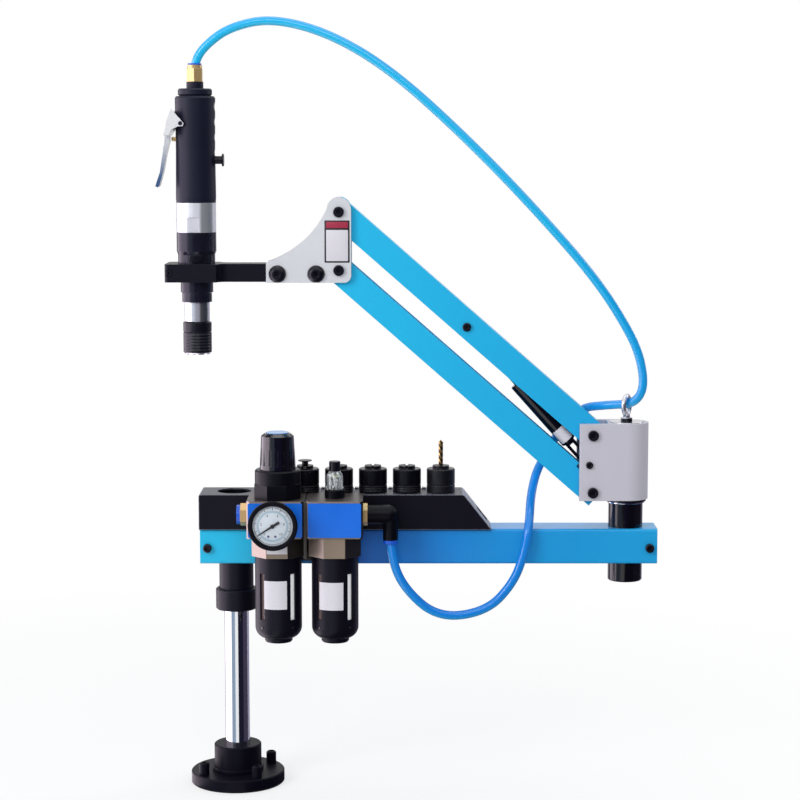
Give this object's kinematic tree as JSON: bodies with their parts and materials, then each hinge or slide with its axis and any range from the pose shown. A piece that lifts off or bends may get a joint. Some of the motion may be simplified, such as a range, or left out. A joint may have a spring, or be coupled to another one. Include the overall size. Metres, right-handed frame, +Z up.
{
  "type": "arm tapping machine",
  "caption": "Air powered tapping machine: a column carries a swinging arm with a turret, and sprung parallel arms hold the motor upright over the work.",
  "frame": {"origin": "centre of the base flange's underside", "axes": "+Z up along the column, +X along the horizontal arm toward the turret, -Y toward the air unit"},
  "size_m": [0.5646, 0.1715, 0.8945],
  "materials": {
    "blue_paint": "gloss",
    "grey_paint": "satin",
    "black_paint": "satin",
    "black_gloss": "gloss",
    "black_oxide": "satin",
    "chrome": "polished",
    "steel": "satin",
    "champagne": "satin",
    "brass": "satin",
    "bronze": "satin",
    "black_plastic": "matte",
    "blue_plastic": "gloss",
    "white_plastic": "matte",
    "clear_plastic": "gloss",
    "needle_black": "satin",
    "hose_blue": "gloss"
  },
  "bodies": {
    "stand": {"base_flange": "black_paint", "base_screws": "black_oxide", "column": "chrome"},
    "collar": {"stop_collar": "black_oxide"},
    "arm": {"swing_sleeve": "black_oxide", "horizontal_arm": "blue_paint", "clamp_blocks": "steel", "arm_bolts": "black_oxide", "collet_tray": "black_paint", "pivot_post": "black_gloss", "filter_body": "champagne", "oiler_body": "champagne", "unit_bracket": "black_paint", "front_plates": "blue_plastic", "bowl_guards": "black_paint", "clear_bowls": "clear_plastic", "bowl_inserts": "white_plastic", "port_nuts": "brass", "outlet_elbow": "black_plastic", "release_rings": "blue_plastic", "gauge_case": "black_plastic", "regulator_bonnet": "black_plastic", "sight_base": "black_plastic", "sight_dome": "clear_plastic", "air_hose": "hose_blue"},
    "drain": {"drain_knob": "black_plastic"},
    "screw": {"pressure_screw": "brass"},
    "knob": {"regulator_knob": "black_plastic"},
    "needle": {"gauge_needle": "needle_black"},
    "oil_adjuster": {"oil_knob": "black_plastic"},
    "turret": {"turret_housing": "grey_paint", "thrust_washer": "black_oxide", "turret_bushes": "bronze", "bearing_cap": "steel", "eye_bolt": "chrome", "turret_bolts": "black_oxide"},
    "upper_link": {"upper_arm": "blue_paint", "rod_bolt": "black_oxide"},
    "lower_link": {"lower_arm": "blue_paint"},
    "spring_body": {"gas_cylinder": "black_gloss"},
    "spring_rod": {"gas_rod": "chrome"},
    "head": {"head_plates": "grey_paint", "head_bolts": "black_oxide", "holder_bar": "black_paint", "motor_grip": "black_plastic", "inlet_fitting": "brass", "exhaust_ring": "chrome", "gearbox": "black_oxide"},
    "lever": {"trigger_lever": "chrome"},
    "valve": {"valve_stem": "brass"},
    "button": {"reverse_button": "black_oxide"},
    "chuck": {"spindle": "steel"},
    "chuck_ring": {"chuck_sleeve": "chrome"},
    "chuck_tool": {"chuck_collet": "black_oxide"},
    "collet_1": {"tap_collet_1": "black_oxide"},
    "collet_2": {"tap_collet_2": "black_oxide"},
    "collet_3": {"tap_collet_3": "black_oxide"},
    "collet_4": {"tap_collet_4": "black_oxide"},
    "collet_5": {"tap_collet_5": "black_oxide"},
    "collet_6": {"tap_collet_6": "black_oxide"}
  },
  "joints": [
    {"name": "height", "type": "slide", "parent": "stand", "child": "collar", "axis": [0, 0, 1], "range_m": [-0.14, 0.03]},
    {"name": "arm_swing", "type": "hinge", "parent": "collar", "child": "arm", "pos_m": [0, 0, 0.2265], "axis": [0, 0, 1], "range_deg": [-180, 180]},
    {"name": "turret_turn", "type": "hinge", "parent": "arm", "child": "turret", "pos_m": [0.444, 0, 0.331], "axis": [0, 0, 1], "range_deg": [-180, 180], "deforming": ["air_hose"]},
    {"name": "arm_lift", "type": "hinge", "parent": "turret", "child": "upper_link", "pos_m": [0.4045, 0, 0.4055], "axis": [0, 1, 0], "range_deg": [-16, 17], "deforming": ["air_hose"]},
    {"name": "lower_lift", "type": "hinge", "parent": "turret", "child": "lower_link", "pos_m": [0.4045, 0, 0.3405], "axis": [0, 1, 0], "range_deg": [-16, 17]},
    {"name": "head_level", "type": "hinge", "parent": "upper_link", "child": "head", "pos_m": [0.11876, 0, 0.656], "axis": [0, 1, 0], "range_deg": [-17, 16], "deforming": ["air_hose"]},
    {"name": "spring_tilt", "type": "hinge", "parent": "turret", "child": "spring_body", "pos_m": [0.4004, 0, 0.3719], "axis": [0, 1, 0], "range_deg": [-14.3, 15.2]},
    {"name": "spring_stroke", "type": "slide", "parent": "spring_body", "child": "spring_rod", "axis": [-0.6655, 0, 0.7464], "range_m": [-0.0072, 0.0077]},
    {"name": "screw_turn", "type": "hinge", "parent": "arm", "child": "screw", "pos_m": [0.0513, -0.058, 0.38], "axis": [0, 0, 1], "range_deg": [-900, 900]},
    {"name": "knob_pull", "type": "slide", "parent": "screw", "child": "knob", "axis": [0, 0, 1], "range_m": [0, 0.003]},
    {"name": "needle_swing", "type": "hinge", "parent": "arm", "child": "needle", "pos_m": [0.0483, -0.1155, 0.318], "axis": [0, 1, 0], "range_deg": [0, 270]},
    {"name": "oil_turn", "type": "hinge", "parent": "arm", "child": "oil_adjuster", "pos_m": [0.1146, -0.058, 0.37], "axis": [0, 0, 1], "range_deg": [-360, 360]},
    {"name": "drain_turn", "type": "hinge", "parent": "arm", "child": "drain", "pos_m": [0.0513, -0.058, 0.18], "axis": [0, 0, 1], "range_deg": [0, 90]},
    {"name": "trigger", "type": "hinge", "parent": "head", "child": "lever", "pos_m": [-0.05604, 0, 0.7538], "axis": [0, -1, 0], "range_deg": [0, 8], "stiffness_Nm_per_rad": 0.6},
    {"name": "valve_push", "type": "slide", "parent": "head", "child": "valve", "axis": [1, 0, 0], "range_m": [0, 0.0026]},
    {"name": "reverse_push", "type": "slide", "parent": "head", "child": "button", "axis": [-1, 0, 0], "range_m": [0, 0.003], "stiffness_N_per_m": 900},
    {"name": "spindle_turn", "type": "hinge", "parent": "head", "child": "chuck", "pos_m": [-0.04144, 0, 0.55], "axis": [0, 0, 1], "continuous": true},
    {"name": "chuck_release", "type": "slide", "parent": "chuck", "child": "chuck_ring", "axis": [0, 0, 1], "range_m": [0, 0.004], "stiffness_N_per_m": 1500},
    {"name": "tool_change", "type": "slide", "parent": "chuck", "child": "chuck_tool", "axis": [0, 0, -1], "range_m": [0, 0.03]},
    {"name": "collet_1_lift", "type": "slide", "parent": "arm", "child": "collet_1", "axis": [0, 0, 1], "range_m": [0, 0.06]},
    {"name": "collet_2_lift", "type": "slide", "parent": "arm", "child": "collet_2", "axis": [0, 0, 1], "range_m": [0, 0.06]},
    {"name": "collet_3_lift", "type": "slide", "parent": "arm", "child": "collet_3", "axis": [0, 0, 1], "range_m": [0, 0.06]},
    {"name": "collet_4_lift", "type": "slide", "parent": "arm", "child": "collet_4", "axis": [0, 0, 1], "range_m": [0, 0.06]},
    {"name": "collet_5_lift", "type": "slide", "parent": "arm", "child": "collet_5", "axis": [0, 0, 1], "range_m": [0, 0.06]},
    {"name": "collet_6_lift", "type": "slide", "parent": "arm", "child": "collet_6", "axis": [0, 0, 1], "range_m": [0, 0.06]}
  ],
  "couplings": [
    {"joint": "lower_lift", "follows": "arm_lift", "ratio": 1},
    {"joint": "head_level", "follows": "arm_lift", "ratio": -1},
    {"joint": "spring_tilt", "follows": "arm_lift", "ratio": 0.89},
    {"joint": "spring_stroke", "follows": "arm_lift", "m_per_rad": 0.0255},
    {"joint": "valve_push", "follows": "trigger", "m_per_rad": 0.018}
  ]
}
